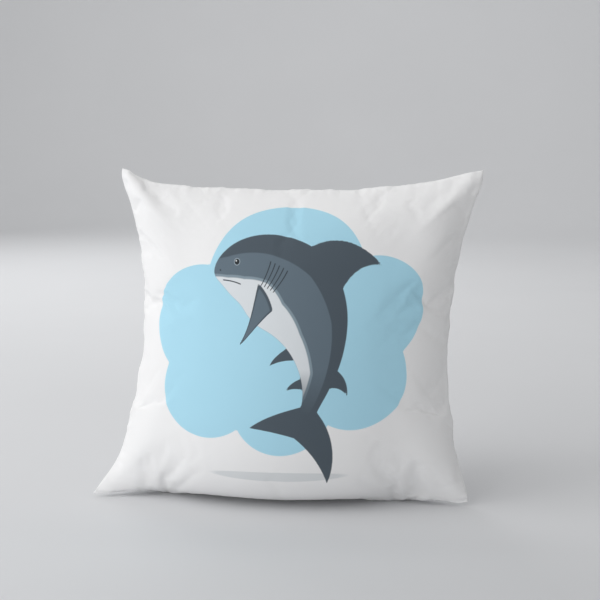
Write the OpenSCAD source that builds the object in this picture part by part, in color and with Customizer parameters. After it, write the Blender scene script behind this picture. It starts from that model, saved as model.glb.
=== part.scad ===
// Square throw cushion, standing on its bottom edge and leaning back a little:
// a zipped fabric cover over a fibre-filled insert. Millimetres, +Z up, the printed
// front faces -Y, and the origin is at the middle of the base.

/* [Cushion] */
// Width over the two bottom corners
base_w = 438; // [360:1:540]
// Width over the two top corners
top_w = 426; // [350:1:530]
// Height of the two top corners
corner_h = 382; // [320:1:470]
// How far the side seams curve in at mid height
side_inset = 34; // [15:1:45]
// How far the top seam dips between its corners
top_dip = 28; // [10:1:40]
// Bulge of the front out of the seam plane
front_bulge = 80; // [55:1:100]
// Bulge of the back out of the seam plane
back_bulge = 90; // [60:1:110]
// Lean of the seam plane, back from upright, in degrees
lean = 9; // [4:0.5:12]
// How far the back sags under its own weight
back_sag = 40; // [30:1:50]
// How far the front sags under its own weight
front_sag = 12; // [6:1:20]
// Height of the bottom seam above the surface it stands on
seam_lift = 6; // [4:0.5:10]

/* [Fabric] */
// Thickness of the cover fabric
cover_t = 1.0; // [0.6:0.1:1.4]
// Thickness of the insert's fabric
insert_t = 0.8; // [0.5:0.1:1.2]
// Gap left between two soft layers that touch
layer_gap = 0.3; // [0.2:0.05:0.5]
// How far the insert stops short of the cover's side and top seams
insert_short = 14; // [10:1:18]
// Room between the insert and the back of the cover, for the zip
zip_room = 5; // [4.5:0.5:8]
// Width of the overlocked seam allowance
allowance_w = 7; // [5:0.5:8]
// Thickness of the overlocked seam allowance
allowance_t = 1.6; // [1:0.1:2]
// Length of the blank care tag along the seam
tag_l = 30; // [20:1:45]

/* [Zip] */
// Length of the zip between its stops, along its arc
zip_l = 300; // [240:5:320]
// Place of the zip up the back, as an angle of the back's profile
zip_row = 70; // [64:1:76]
// Half the height of the slot that shows the zip
slot_half = 4.2; // [4:0.1:6]
// Width of one zip tape
tape_w = 12; // [10:0.5:14]
// Thickness of a zip tape
tape_t = 0.5; // [0.4:0.05:0.7]
// Half the width of the closed coils
chain_half = 2.2; // [2:0.05:2.5]
// Height of the coils off the tape
chain_t = 1.5; // [1.3:0.05:1.8]
// Length of the slider
slider_l = 8.6; // [7.5:0.1:10]
// Length of the pull tab
pull_l = 19; // [15:0.5:26]

/* [Hidden] */
$fn = 48;

FRONT = -1;
BACK = 1;
COLS = 32;             // columns of a panel's grid
BAND_HALF = 5;         // half the zip band, in degrees of the profile
BAND_FADE = 22;        // over which the band fades into the free shape
running_gap = 0.3;     // slider on coils and tapes
facet_room = 0.4;      // for flat facets that cut inside the curves of two close layers
slot_spare = 10;       // slot past each stop
plate_t = 1.0;         // a slider plate
post_w = 1.4;          // the slider's wedge between the two coils
coil_split = 0.95;     // half the gap between the two coil beads
thread_t = 0.5;

// ---- small helpers ----
function mix(a, b, t) = a + (b - a) * t;
function clamp01(t) = max(0, min(1, t));
function smooth(t) = let (c = clamp01(t)) c * c * (3 - 2 * c);

// ---- the cushion's shape ----
// A point of a panel is found from u, across from -1 to 1, and a, the profile's angle,
// from 0 at the bottom seam to 180 at the top seam.
function along(a) = (1 - cos(a)) / 2;
function top_z(u) = corner_h - top_dip * pow(1 - u * u, 0.6);
function half_w(z) =
    let (q = clamp01((z - seam_lift) / (corner_h - seam_lift)))
    mix(base_w, top_w, q) / 2 - side_inset * pow(4 * q * (1 - q), 0.8);
function bulge(side, a, skin) =
    max(0, (side == FRONT ? front_bulge : back_bulge) * pow(sin(a), 0.9) * (1 + 0.15 * cos(a)) - skin);
// Depth of a circular arc that spans -w to w with rise s
function arc_rise(x, w, s) =
    s < 0.01 ? 0 : let (r = (w * w + s * s) / (2 * s)) sqrt(max(0, r * r - x * x)) - (r - s);
// Height of a profile point before the floor stops it. edge is how far the outline is drawn in.
function free_z(side, u, a, edge) =
    seam_lift + edge + (top_z(u) - seam_lift - 2 * edge) * along(a)
    - (a < 90 ? (side == FRONT ? front_sag : back_sag) * sin(2 * a) * (1 - u * u) : 0);
// 1 in the zip's band and 0 well away from it
function band(a) = smooth(1 - (abs(a - zip_row) - BAND_HALF) / BAND_FADE);
function mid_y(z) = z * tan(lean) + seam_y;

// Rows of each panel's grid, as angles of the profile
front_rows = [0, 4, 8, 13, 19, 26, 34, 43, 53, 64, 76, 89, 102, 115, 127, 138, 148, 156, 163, 169, 174, 177.5, 180];
lower_rows = [0, 4, 8, 13, 19, 26, 34, 43, 51, 58, 64, 67.5];
upper_rows = [72.5, 76, 82, 89, 98, 107, 117, 127, 137, 147, 156, 163, 169, 174, 177.5, 180];

// The unshifted profile gives the shift that centres the cushion over its origin.
function reach(side, a) =
    let (z = max(0, free_z(side, 0, a, 0))) z * tan(lean) + side * bulge(side, a, 0);
front_reach = min([for (a = front_rows) reach(FRONT, a)]);
back_reach = max([for (a = upper_rows) reach(BACK, a)]);
seam_y = -(front_reach + back_reach) / 2;

// ---- the zip's place: a cone band about an upright axis behind the front ----
zip_z = free_z(BACK, 0, zip_row, 0);
zip_w = half_w(zip_z);
zip_rise = bulge(BACK, zip_row, 0);
zip_r = (zip_w * zip_w + zip_rise * zip_rise) / (2 * zip_rise);
axis_y = mid_y(zip_z) + zip_rise - zip_r;
above_z = free_z(BACK, 0, zip_row + 3, 0);
below_z = free_z(BACK, 0, zip_row - 3, 0);
band_slope = (mid_y(above_z) + bulge(BACK, zip_row + 3, 0) - mid_y(below_z) - bulge(BACK, zip_row - 3, 0))
    / (above_z - below_z);
zip_tilt = atan(band_slope);
zip_half_angle = (zip_l / 2) / zip_r * 180 / PI;
slot_half_angle = zip_half_angle + slot_spare / zip_r * 180 / PI;
slot_u = zip_r * sin(slot_half_angle) / zip_w;
slider_angle = -zip_half_angle + (slider_l / 2 + running_gap) / zip_r * 180 / PI;

// A point on the outer or an inner layer of a panel. edge, skin and base are how far the
// layer is drawn in at the outline, over the bulge and above the floor.
function panel_point(side, u, a, edge, skin, base, banded, forced_z) =
    let (
        k = side == BACK && banded ? band(a) : 0,
        z = forced_z != undef ? forced_z
            : max(base, mix(free_z(side, u, a, edge), free_z(side, 0, a, edge), k)),
        w = half_w(z) - edge,
        x = u * w,
        free_y = mid_y(z) + side * arc_rise(x, w, bulge(side, a, skin)),
        r = zip_r - skin + band_slope * (z - zip_z),
        cone_y = axis_y + sqrt(max(0, r * r - x * x)),
        ku = smooth((1 - abs(u)) / (1 - slot_u - 0.06))
    )
    [x, k == 0 ? free_y : mix(free_y, cone_y, k * ku), z];

// ---- grids to solids ----
// Two triangles a cell. Each cell's diagonal runs towards the middle of the grid, so that
// a corner cell keeps no triangle that lies wholly on the border.
function grid_faces(cols, rows, first, flip) = [
    for (j = [0:rows - 1], i = [0:cols - 1], t = [0, 1])
        let (
            p = first + j * (cols + 1) + i,
            q = p + cols + 1,
            rising = (i < cols / 2) == (j < rows / 2),
            f = rising
                ? (t == 0 ? [p, q + 1, p + 1] : [p, q, q + 1])
                : (t == 0 ? [p, q, p + 1] : [p + 1, q, q + 1])
        )
        flip ? [f[2], f[1], f[0]] : f
];
// Indices round the border of a grid
function border(cols, rows) = concat(
    [for (i = [0:cols - 1]) i],
    [for (j = [0:rows - 1]) j * (cols + 1) + cols],
    [for (i = [cols:-1:1]) rows * (cols + 1) + i],
    [for (j = [rows:-1:1]) j * (cols + 1)]
);
// A closed solid between an outer and an inner grid of the same size
module shell_solid(outer, inner, cols, rows, flip) {
    n = (cols + 1) * (rows + 1);
    ring = border(cols, rows);
    rim = [
        for (k = [0:len(ring) - 1], t = [0, 1])
            let (
                p = ring[k],
                q = ring[(k + 1) % len(ring)],
                f = t == 0 ? [p, q, n + q] : [p, n + q, n + p]
            )
            flip ? [f[2], f[1], f[0]] : f
    ];
    polyhedron(
        concat(outer, inner),
        concat(grid_faces(cols, rows, 0, flip), grid_faces(cols, rows, n, !flip), rim)
    );
}
// Columns of a panel's grid, closer together towards the side seams
columns = [for (i = [0:COLS]) sin(90 * (2 * i / COLS - 1))];
// The back's columns also hit the two ends of the slot
back_columns = let (step = 0.012, n = 11)
    concat(
        [for (i = [0:4]) mix(-1, -slot_u - step, sin(18 * i))],
        [-slot_u - step],
        [for (i = [0:2 * n]) mix(-slot_u, slot_u, i / (2 * n))],
        [slot_u + step],
        [for (i = [4:-1:0]) mix(1, slot_u + step, sin(18 * i))]
    );

function layer(side, us, as, edge, skin, base, banded = false) =
    [for (a = as, u = us) panel_point(side, u, a, edge, skin, base, banded, undef)];

// ---- cover ----
module front_panel() {
    color([0.96, 0.96, 0.96])
        shell_solid(
            layer(FRONT, columns, front_rows, 0, 0, 0),
            layer(FRONT, columns, front_rows, cover_t, cover_t, cover_t),
            COLS, len(front_rows) - 1, false
        );
}

// Rows of a back panel up to or down from the zip, whose last row follows the slot's edge
function slot_gap(u) = abs(u) <= slot_u + 0.001 ? slot_half : 0;
function slot_edge(us, way, edge, skin) = [
    for (u = us)
        panel_point(BACK, u, zip_row, edge, skin, 0, true, zip_z + way * slot_gap(u))
];

module back_panel_lower() {
    color([0.95, 0.95, 0.95])
        shell_solid(
            concat(
                layer(BACK, back_columns, lower_rows, 0, 0, 0, true),
                slot_edge(back_columns, -1, 0, 0)
            ),
            concat(
                layer(BACK, back_columns, lower_rows, cover_t, cover_t, cover_t, true),
                slot_edge(back_columns, -1, cover_t, cover_t)
            ),
            len(back_columns) - 1, len(lower_rows), true
        );
}

module back_panel_upper() {
    color([0.95, 0.95, 0.95])
        shell_solid(
            concat(
                slot_edge(back_columns, 1, 0, 0),
                layer(BACK, back_columns, upper_rows, 0, 0, 0, true)
            ),
            concat(
                slot_edge(back_columns, 1, cover_t, cover_t),
                layer(BACK, back_columns, upper_rows, cover_t, cover_t, cover_t, true)
            ),
            len(back_columns) - 1, len(upper_rows), true
        );
}

// ---- seam allowances, folded inside the cover and overlocked ----
// A flat strip in the seam plane, between two lists of [x, z]. Seen from the front, the
// second lies to the right of the first as the first is followed.
module plane_strip(first, second, thick) {
    n = len(first);
    half = thick / 2;
    points = [
        for (i = [0:n - 1], p = [[first[i], -half], [second[i], -half], [second[i], half], [first[i], half]])
            [p[0][0], mid_y(p[0][1]) + p[1], p[0][1]]
    ];
    sides = [
        for (i = [0:n - 2], k = [0:3])
            [4 * i + k, 4 * i + 4 + k, 4 * i + 4 + (k + 1) % 4, 4 * i + (k + 1) % 4]
    ];
    polyhedron(points, concat(sides, [[0, 1, 2, 3], [4 * n - 1, 4 * n - 2, 4 * n - 3, 4 * n - 4]]));
}
side_edge = cover_t + 2;
end_edge = cover_t + 0.5;
function side_line(way, in, from = 0.2, to = 0.85) =
    [for (k = [0:12]) let (z = corner_h * mix(from, to, k / 12)) [way * (half_w(z) - in), z]];
function top_line(in) =
    [for (u = [-0.6:0.1:0.61]) [u * top_w / 2, top_z(u) - in]];
function bottom_line(in) =
    [for (u = [-0.7, 0, 0.7]) [u * base_w / 2, seam_lift + in]];

module overlocked_seams() {
    color([0.93, 0.93, 0.92]) {
        plane_strip(side_line(-1, side_edge), side_line(-1, side_edge + allowance_w), allowance_t);
        plane_strip(side_line(1, side_edge + allowance_w), side_line(1, side_edge), allowance_t);
        plane_strip(top_line(end_edge), top_line(end_edge + allowance_w), allowance_t);
        plane_strip(bottom_line(end_edge + allowance_w), bottom_line(end_edge), allowance_t);
    }
}

// Blank satin tag caught in the left side seam, inside the cover
module care_tag() {
    z = corner_h / 2;
    color([0.98, 0.98, 0.97])
        translate([-half_w(z) + side_edge + 2, mid_y(z) + allowance_t / 2 + 0.1, z])
            rotate([-lean, 0, 0])
                translate([0, 0, -tag_l / 2])
                    cube([allowance_w - 1, 0.4, tag_l]);
}

// ---- zip ----
// Places children on the zip, at an angle about the upright axis: local X runs along the
// zip, Y points out of the cushion and Z up the band.
module on_zip(angle) {
    translate([0, axis_y, 0])
        rotate([0, 0, angle])
            translate([0, zip_r, zip_z])
                rotate([-zip_tilt, 0, 0])
                    children();
}
// A strip along the zip from angle a to b, with a rectangular section: out is its depth
// from the fabric's surface and up its place across the zip.
module zip_strip(a, b, out, depth, up, height) {
    translate([0, axis_y, 0])
        rotate([0, 0, 90 + a])
            rotate_extrude(angle = b - a, $fn = 180)
                translate([zip_r, zip_z])
                    rotate(-zip_tilt)
                        translate([out, up])
                            square([depth, height]);
}
tape_out = -cover_t - layer_gap;          // outer face of the tapes
tape_in = tape_out - tape_t;              // inner face of the tapes
tape_split = post_w / 2 + running_gap;    // half the gap between the tapes
chain_out = tape_out + chain_t;           // outer face of the coils
tape_angle = slot_half_angle + 5 / zip_r * 180 / PI;

module zip_tape(way) {
    color([0.92, 0.92, 0.91])
        zip_strip(
            -tape_angle, tape_angle,
            tape_in, tape_t, way > 0 ? tape_split : -tape_split - tape_w, tape_w
        );
}
module zip_coil(way) {
    bead = chain_half - coil_split;
    color([0.97, 0.97, 0.96])
        zip_strip(
            slider_angle + 0.2, zip_half_angle - stop_angle - 0.1,
            tape_out + 0.1, chain_t - 0.1, way > 0 ? coil_split : -chain_half, bead
        );
}
stop_l = 3;
stop_angle = stop_l / zip_r * 180 / PI;

module zip_top_stops() {
    color([0.8, 0.8, 0.8])
        for (way = [-1, 1])
            zip_strip(
                -zip_half_angle - stop_angle, -zip_half_angle,
                tape_out + 0.1, chain_t - 0.1, way > 0 ? coil_split : -chain_half, chain_half - coil_split
            );
}
module zip_bottom_stop() {
    color([0.8, 0.8, 0.8])
        zip_strip(
            zip_half_angle - stop_angle, zip_half_angle,
            tape_out + 0.1, chain_t + 0.2, -chain_half - 0.3, 2 * chain_half + 0.6
        );
}

// Two rows of thread along the slot's folded edges
module zip_topstitching() {
    color([0.97, 0.97, 0.96])
        for (way = [-1, 1])
            zip_strip(
                -slot_half_angle, slot_half_angle,
                0.1, thread_t, way * (slot_half + 2.5) - thread_t / 2, thread_t
            );
}
// A close bar of stitches across each end of the slot
module zip_bartacks() {
    bar_w = 1.6;
    bar_angle = bar_w / zip_r * 180 / PI;
    color([0.97, 0.97, 0.96])
        for (way = [-1, 1])
            zip_strip(
                way * (slot_half_angle + 0.9) - bar_angle / 2, way * (slot_half_angle + 0.9) + bar_angle / 2,
                0.1, 0.8, -slot_half - 1, 2 * slot_half + 2
            );
}

channel_half = chain_half + running_gap;   // half the slider's channel
tail_half = channel_half + 0.8;
shoulder_half = tail_half + 0.4;
plate_out = chain_out + running_gap;       // inner face of the outer plate
plate_in = tape_in - running_gap;          // outer face of the inner plate
bridge_h = 2.4;                            // height of the bridge over the outer plate
bridge_t = 0.7;
bridge_w = 1.4;
bridge_l = 6.4;
bar_r = 0.6;                               // radius of the pull's cross bar
bar_out = plate_out + plate_t + 0.2 + bar_r;
arm_in = bridge_w / 2 + 0.3;
arm_w = 1.2;
tab_w = 6;

// A slider plate: wide at the shoulders, where the coils part, and narrow at the tail
module plate_outline() {
    h = slider_l / 2;
    polygon([
        [h, shoulder_half - 0.9], [h - 0.9, shoulder_half], [h - 3, shoulder_half],
        [-h + 0.6, tail_half], [-h, tail_half - 0.6],
        [-h, -tail_half + 0.6], [-h + 0.6, -tail_half],
        [h - 3, -shoulder_half], [h - 0.9, -shoulder_half], [h, -shoulder_half + 0.9]
    ]);
}
// Extrudes an outline drawn along and across the zip, outwards from depth a to b
module across_zip(a, b) {
    translate([0, b, 0])
        rotate([90, 0, 0])
            linear_extrude(b - a)
                children();
}
// The bridge from the side: an arch whose window holds the pull's cross bar
module bridge_outline() {
    difference() {
        translate([-bridge_l / 2, -0.2])
            square([bridge_l, bridge_h + 0.2]);
        translate([-bridge_l / 2 + bridge_t, 0])
            square([bridge_l - 2 * bridge_t, bridge_h - bridge_t]);
    }
}
module zip_slider() {
    color([0.78, 0.79, 0.8])
        on_zip(slider_angle)
            union() {
                across_zip(plate_out, plate_out + plate_t)
                    plate_outline();
                across_zip(plate_in - plate_t, plate_in)
                    plate_outline();
                // flanges either side of the channel
                across_zip(tape_out + running_gap, plate_out + 0.1)
                    difference() {
                        plate_outline();
                        square([slider_l + 1, 2 * channel_half], center = true);
                    }
                // wedge that parts the coils
                across_zip(plate_in - 0.1, plate_out + 0.1)
                    translate([slider_l / 2 - 3.2, -post_w / 2])
                        square([2.4, post_w]);
                translate([0, plate_out + plate_t, -bridge_w / 2])
                    linear_extrude(bridge_w)
                        bridge_outline();
            }
}
module zip_pull() {
    reach = arm_in + arm_w;
    start = bridge_l / 2 + 0.5;
    color([0.78, 0.79, 0.8])
        on_zip(slider_angle)
            translate([0, bar_out, 0])
                union() {
                    translate([0, 0, -reach])
                        cylinder(r = bar_r, h = 2 * reach, $fn = 32);
                    across_zip(-bar_r, bar_r)
                        difference() {
                            translate([-start - 1.2, -reach])
                                square([start + 1.2, 2 * reach]);
                            translate([-start, -arm_in])
                                square([start + 1, 2 * arm_in]);
                        }
                    across_zip(-bar_r, bar_r) {
                        translate([-pull_l + tab_w / 2, -tab_w / 2])
                            square([pull_l - tab_w / 2 - start, tab_w]);
                        translate([-pull_l + tab_w / 2, 0])
                            circle(d = tab_w, $fn = 32);
                    }
                }
}

// ---- insert ----
insert_edge = cover_t + insert_short;
closing_w = 3.5;
insert_rows = [0, 8, 16, 25, 35, 46, 58, 71, 84, 97, 110, 122, 134, 145, 155, 164, 172, 180];
insert_columns = [for (i = [0:24]) sin(90 * (i / 12 - 1))];

function insert_skin(side) = cover_t + (side == FRONT ? layer_gap + facet_room : zip_room);
function insert_layer(side, deeper) =
    layer(
        side, insert_columns, insert_rows,
        insert_edge + deeper, insert_skin(side) + deeper, cover_t + layer_gap + deeper
    );
module insert_panel(side) {
    color([0.98, 0.98, 0.98])
        shell_solid(
            insert_layer(side, 0), insert_layer(side, insert_t),
            len(insert_columns) - 1, len(insert_rows) - 1, side == BACK
        );
}
// The overcast edge that closes the insert after filling, on its right side seam
module insert_closing_seam() {
    color([0.95, 0.95, 0.95])
        plane_strip(
            side_line(1, insert_edge - layer_gap, 0.3, 0.7),
            side_line(1, insert_edge - layer_gap - closing_w, 0.3, 0.7),
            1
        );
}
module fibre_fill() {
    cols = len(insert_columns) - 1;
    rows = len(insert_rows) - 1;
    n = (cols + 1) * (rows + 1);
    inset = insert_t + layer_gap;
    // The back grid shares the front grid's border, so that the two close into one solid.
    back = [
        for (f = grid_faces(cols, rows, 0, true))
            [for (p = f) let (i = p % (cols + 1), j = floor(p / (cols + 1)))
                i == 0 || i == cols || j == 0 || j == rows ? p : p + n]
    ];
    color([1, 1, 1])
        polyhedron(
            concat(insert_layer(FRONT, inset), insert_layer(BACK, inset)),
            concat(grid_faces(cols, rows, 0, false), back)
        );
}

front_panel();
back_panel_upper();
back_panel_lower();
overlocked_seams();
care_tag();
zip_tape(1);  // zip_tape_upper
zip_tape(-1);  // zip_tape_lower
zip_coil(1);  // zip_coil_upper
zip_coil(-1);  // zip_coil_lower
zip_top_stops();
zip_bottom_stop();
zip_topstitching();
zip_bartacks();
zip_slider();
zip_pull();
insert_panel(FRONT);  // insert_front_panel
insert_panel(BACK);  // insert_back_panel
insert_closing_seam();
fibre_fill();
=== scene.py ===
"""Looks of a standing throw pillow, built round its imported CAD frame. Metres, +Z up, the printed
front faces -Y. The cover is one cloth-simulated surface, cut afterwards into its three panels."""

import math
from functools import partial

import bpy
import numpy as np
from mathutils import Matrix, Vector


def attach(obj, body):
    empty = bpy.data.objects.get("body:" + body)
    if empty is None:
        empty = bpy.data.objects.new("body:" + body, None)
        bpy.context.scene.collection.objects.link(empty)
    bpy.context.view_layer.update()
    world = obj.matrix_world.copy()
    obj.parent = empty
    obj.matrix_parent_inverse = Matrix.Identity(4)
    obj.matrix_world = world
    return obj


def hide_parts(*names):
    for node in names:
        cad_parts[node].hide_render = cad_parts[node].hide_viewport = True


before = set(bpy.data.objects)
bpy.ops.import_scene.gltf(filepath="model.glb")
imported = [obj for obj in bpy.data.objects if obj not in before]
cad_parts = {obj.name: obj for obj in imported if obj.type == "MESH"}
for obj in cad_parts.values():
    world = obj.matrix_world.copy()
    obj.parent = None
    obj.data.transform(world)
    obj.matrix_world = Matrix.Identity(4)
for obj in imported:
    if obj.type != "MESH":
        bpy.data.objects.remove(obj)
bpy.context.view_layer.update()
MM = 0.001

# ---- the cushion's shape: the CAD's own sizes and formulas, in metres ----
BASE_W, TOP_W, CORNER_H = 0.438, 0.426, 0.382
SIDE_INSET, TOP_DIP = 0.034, 0.028
FRONT_BULGE, BACK_BULGE = 0.080, 0.090
LEAN = math.radians(9)
BACK_SAG, FRONT_SAG, SEAM_LIFT = 0.040, 0.012, 0.006
COVER_T = 0.001
ZIP_ROW, ZIP_L, SLOT_HALF, SLOT_SPARE = 70.0, 0.300, 0.0042, 0.010
BAND_HALF, BAND_FADE = 5.0, 22.0
FRONT, BACK = -1, 1


def mix(a, b, t):
    return a + (b - a) * t


def smooth(t):
    t = np.clip(t, 0.0, 1.0)
    return t * t * (3 - 2 * t)


def near(distance, reach):
    """1 at no distance, and falling away over reach."""
    return np.exp(-(distance / reach) ** 2)


def unit(v):
    return v / np.maximum(np.linalg.norm(v, axis=-1, keepdims=True), 1e-12)


def eased(p, rounds):
    """Points smoothed along their first axis, its ends held."""
    for _ in range(rounds):
        p[1:-1] = 0.5 * p[1:-1] + 0.25 * (p[2:] + p[:-2])
    return p


def eased_loop(p, rounds):
    for _ in range(rounds):
        p = 0.5 * p + 0.25 * (np.roll(p, 1, 0) + np.roll(p, -1, 0))
    return p


def sin_d(a):
    return np.sin(np.radians(a))


def cos_d(a):
    return np.cos(np.radians(a))


def top_z(u):
    return CORNER_H - TOP_DIP * np.power(np.clip(1 - u * u, 0, 1), 0.6)


def height_share(z):
    """0 at the bottom seam and 1 at the top corners."""
    return (z - SEAM_LIFT) / (CORNER_H - SEAM_LIFT)


def half_w(z):
    q = np.clip(height_share(z), 0, 1)
    return mix(BASE_W, TOP_W, q) / 2 - SIDE_INSET * np.power(4 * q * (1 - q), 0.8)


def bulge(side, a):
    full = FRONT_BULGE if side == FRONT else BACK_BULGE
    return full * np.power(np.clip(sin_d(a), 0, 1), 0.9) * (1 + 0.15 * cos_d(a))


def arc_rise(x, w, s):
    """Height at x of an arc that rises s over a half width w."""
    s_ok = np.maximum(s, 1e-5)
    r = (w * w + s_ok * s_ok) / (2 * s_ok)
    return np.where(s < 1e-5, 0.0, np.sqrt(np.maximum(0, r * r - x * x)) - (r - s_ok))


def free_z(side, u, a):
    """Height of row a: 0 degrees at the bottom seam, 180 at the top."""
    sag = FRONT_SAG if side == FRONT else BACK_SAG
    along = (1 - cos_d(a)) / 2
    return (SEAM_LIFT + (top_z(u) - SEAM_LIFT) * along
            - np.where(a < 90, sag * sin_d(2 * a) * (1 - u * u), 0.0))


def reach(side, a):
    """Where a row's middle lies along Y, from the seams' plane on the floor."""
    return np.maximum(0, free_z(side, 0.0, a)) * math.tan(LEAN) + side * bulge(side, a)


# the seams' plane lies midway between the CAD's foremost and rearmost rows
FOREMOST_ROW, REARMOST_ROW = 64.0, 98.0
SEAM_Y = -(reach(FRONT, FOREMOST_ROW) + reach(BACK, REARMOST_ROW)) / 2


def mid_y(z):
    return z * math.tan(LEAN) + SEAM_Y


# the zip lies on a circle about an upright axis, on a band as steep as the back is there
ZIP_Z = float(free_z(BACK, 0.0, ZIP_ROW))
ZIP_W = float(half_w(ZIP_Z))
RISE = float(bulge(BACK, ZIP_ROW))
ZIP_R = (ZIP_W ** 2 + RISE ** 2) / (2 * RISE)
AXIS_Y = float(mid_y(ZIP_Z)) + RISE - ZIP_R
z_over, z_under = (free_z(BACK, 0.0, ZIP_ROW + a) for a in (3, -3))
y_over = mid_y(z_over) + bulge(BACK, ZIP_ROW + 3)
SLOPE = float((y_over - mid_y(z_under) - bulge(BACK, ZIP_ROW - 3)) / (z_over - z_under))
ZIP_TILT = math.atan(SLOPE)
ZIP_HALF_ANGLE = ZIP_L / 2 / ZIP_R
SLOT_ANGLE = ZIP_HALF_ANGLE + SLOT_SPARE / ZIP_R
SLOT_U = ZIP_R * math.sin(SLOT_ANGLE) / ZIP_W


def surface(side, u, a, forced_z=None):
    """Points of a panel's outer face, as an array of shape (..., 3)."""
    u, a = np.broadcast_arrays(u, a)
    k = smooth(1 - (np.abs(a - ZIP_ROW) - BAND_HALF) / BAND_FADE) if side == BACK else np.zeros_like(a)
    z = np.maximum(0, mix(free_z(side, u, a), free_z(side, 0.0 * u, a), k))
    if forced_z is not None:
        z = forced_z
    w = half_w(z)
    x = u * w
    y_free = mid_y(z) + side * arc_rise(x, w, bulge(side, a))
    r = ZIP_R + SLOPE * (z - ZIP_Z)
    y_cone = AXIS_Y + np.sqrt(np.maximum(0, r * r - x * x))
    ku = smooth((1 - np.abs(u)) / (1 - SLOT_U - 0.06))
    return np.stack([x, np.where(k > 0, mix(y_free, y_cone, k * ku), y_free), z], axis=-1)


# ---- grid: rows and columns evenly spaced over the cloth ----
STEP = 0.0052
PLAIN_SEAM_HALF = 0.0011       # half the gap between the zip's rows beyond its slot


def arc_length(points):
    """How far along their line points lie."""
    return np.concatenate([[0], np.cumsum(np.linalg.norm(np.diff(points, axis=0), axis=1))])


def along_line(points, run, at):
    """Places on a line at the distances at; run holds its points' own."""
    return np.stack([np.interp(at, run, points[:, k]) for k in range(3)], -1)


def resampled(points, n, low=0, high=1):
    """n evenly spaced points along a line, between two fractions of its length."""
    run = arc_length(points)
    return along_line(points, run, np.linspace(low * run[-1], high * run[-1], n))


def even_columns():
    """Arc positions -1..1 across a row; two of them fall on the ends of the zip's slot."""
    edge = math.asin(ZIP_W / ZIP_R)
    cut = SLOT_ANGLE / edge
    n_in = 2 * round(SLOT_ANGLE * ZIP_R / STEP)
    n_out = round((edge - SLOT_ANGLE) * ZIP_R / STEP)
    out = np.linspace(cut, 1, n_out + 1)
    tau = np.concatenate([-out[::-1], np.linspace(-cut, cut, n_in + 1)[1:-1], out])
    return tau, (n_out, n_out + n_in)


def u_of(side, tau, a):
    """Where arc position tau falls across a row."""
    z = np.maximum(0, free_z(side, 0.0, a))
    theta = 2 * np.arctan2(np.maximum(bulge(side, a), 1e-4), half_w(z))
    return np.sin(theta * tau) / np.sin(theta)


def profile(side):
    """Rows as angles, and how far up the panel's middle each lies."""
    a = np.linspace(0, 180, 1441)
    return a, arc_length(surface(side, np.zeros_like(a), a))


def space_side_rows(p, last, pull):
    """Evens out the rows below the zip near the side seams, where the formula bunches them."""
    low = p[:last + 1]
    even = np.stack([resampled(column, last + 1) for column in low.swapaxes(0, 1)], 1)
    for c, way in ((0, -1), (-1, 1)):
        z = np.linspace(low[0, c, 2], low[-1, c, 2], last + 1)
        even[:, c] = np.stack([way * half_w(z), mid_y(z), z], -1)
    p[:last + 1] = mix(low, eased(even, 12), pull[..., None])


def build_grids():
    """Both panels' grids, with one border, and where the zip's rows and slot lie."""
    tau, slot = even_columns()
    to_side = np.power(np.abs(tau), 4)[None, :]
    a_tab, l_tab = profile(BACK)
    l_zip = np.interp(ZIP_ROW, a_tab, l_tab)
    ends = l_zip - SLOT_HALF, l_zip + SLOT_HALF
    n_lo, n_hi = round(ends[0] / STEP), round((l_tab[-1] - ends[1]) / STEP)
    run = np.concatenate([np.linspace(0, ends[0], n_lo + 1), [l_zip],
                          np.linspace(ends[1], l_tab[-1], n_hi + 1)])
    t = run / l_tab[-1]
    a_mid = np.interp(run, l_tab, a_tab)[:, None]
    zip_rows = (n_lo, n_lo + 1, n_lo + 2)
    # near the side seams the rows are evenly spaced up the seam instead
    a_side = np.degrees(np.arccos(1 - 2 * t))[:, None]
    hold = smooth(1 - (np.abs(run - l_zip) - 0.02) / 0.09)
    back = surface(BACK, u_of(BACK, tau[None, :], a_mid), mix(a_mid, a_side, to_side * (1 - hold[:, None])))
    on_zip_row = np.full(len(tau), ZIP_ROW)
    u = u_of(BACK, tau, on_zip_row)
    gap = mix(SLOT_HALF, PLAIN_SEAM_HALF, smooth((np.abs(u) - SLOT_U - 0.002) / 0.03))
    for j, way in zip(zip_rows, (-1, 0, 1)):
        back[j] = surface(BACK, u, on_zip_row, ZIP_Z + way * gap)
    space_side_rows(back, n_lo, to_side)
    a_side = np.degrees(np.arccos(np.clip(1 - 2 * height_share(back[:, :1, 2]), -1, 1)))
    a_tab, l_tab = profile(FRONT)
    a_mid = np.interp(t * l_tab[-1], l_tab, a_tab)[:, None]
    front = surface(FRONT, u_of(FRONT, tau[None, :], a_mid), mix(a_mid, a_side, to_side))
    # both panels share the seam
    front[:, 0], front[:, -1] = back[:, 0], back[:, -1]
    front[0], front[-1] = back[0], back[-1]
    return tau, t, run, front, back, zip_rows, slot


TAU, T, ROW_RUN, FRONT_FORM, BACK_FORM, ZIP_ROWS, SLOT = build_grids()
NU, NV = len(TAU), len(T)
TV_ZIP = float(T[ZIP_ROWS[1]])
TAU_SLOT = abs(float(TAU[SLOT[0]]))

# vertex index of every grid point: the back's come first, and the border is shared
B_IDX = np.arange(NU * NV).reshape(NV, NU)
F_IDX = B_IDX.copy()
F_IDX[1:-1, 1:-1] = np.arange((NU - 2) * (NV - 2)).reshape(NV - 2, NU - 2) + NU * NV


def stack(back, front):
    """A row for each vertex, from values on the two grids."""
    return np.concatenate([g.reshape(-1, g.shape[-1]) for g in (back, front[1:-1, 1:-1])])


def quads(idx, flip):
    q = np.stack([idx[:-1, :-1], idx[:-1, 1:], idx[1:, 1:], idx[1:, :-1]], -1).reshape(-1, 4)
    return q[:, ::-1] if flip else q


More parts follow.
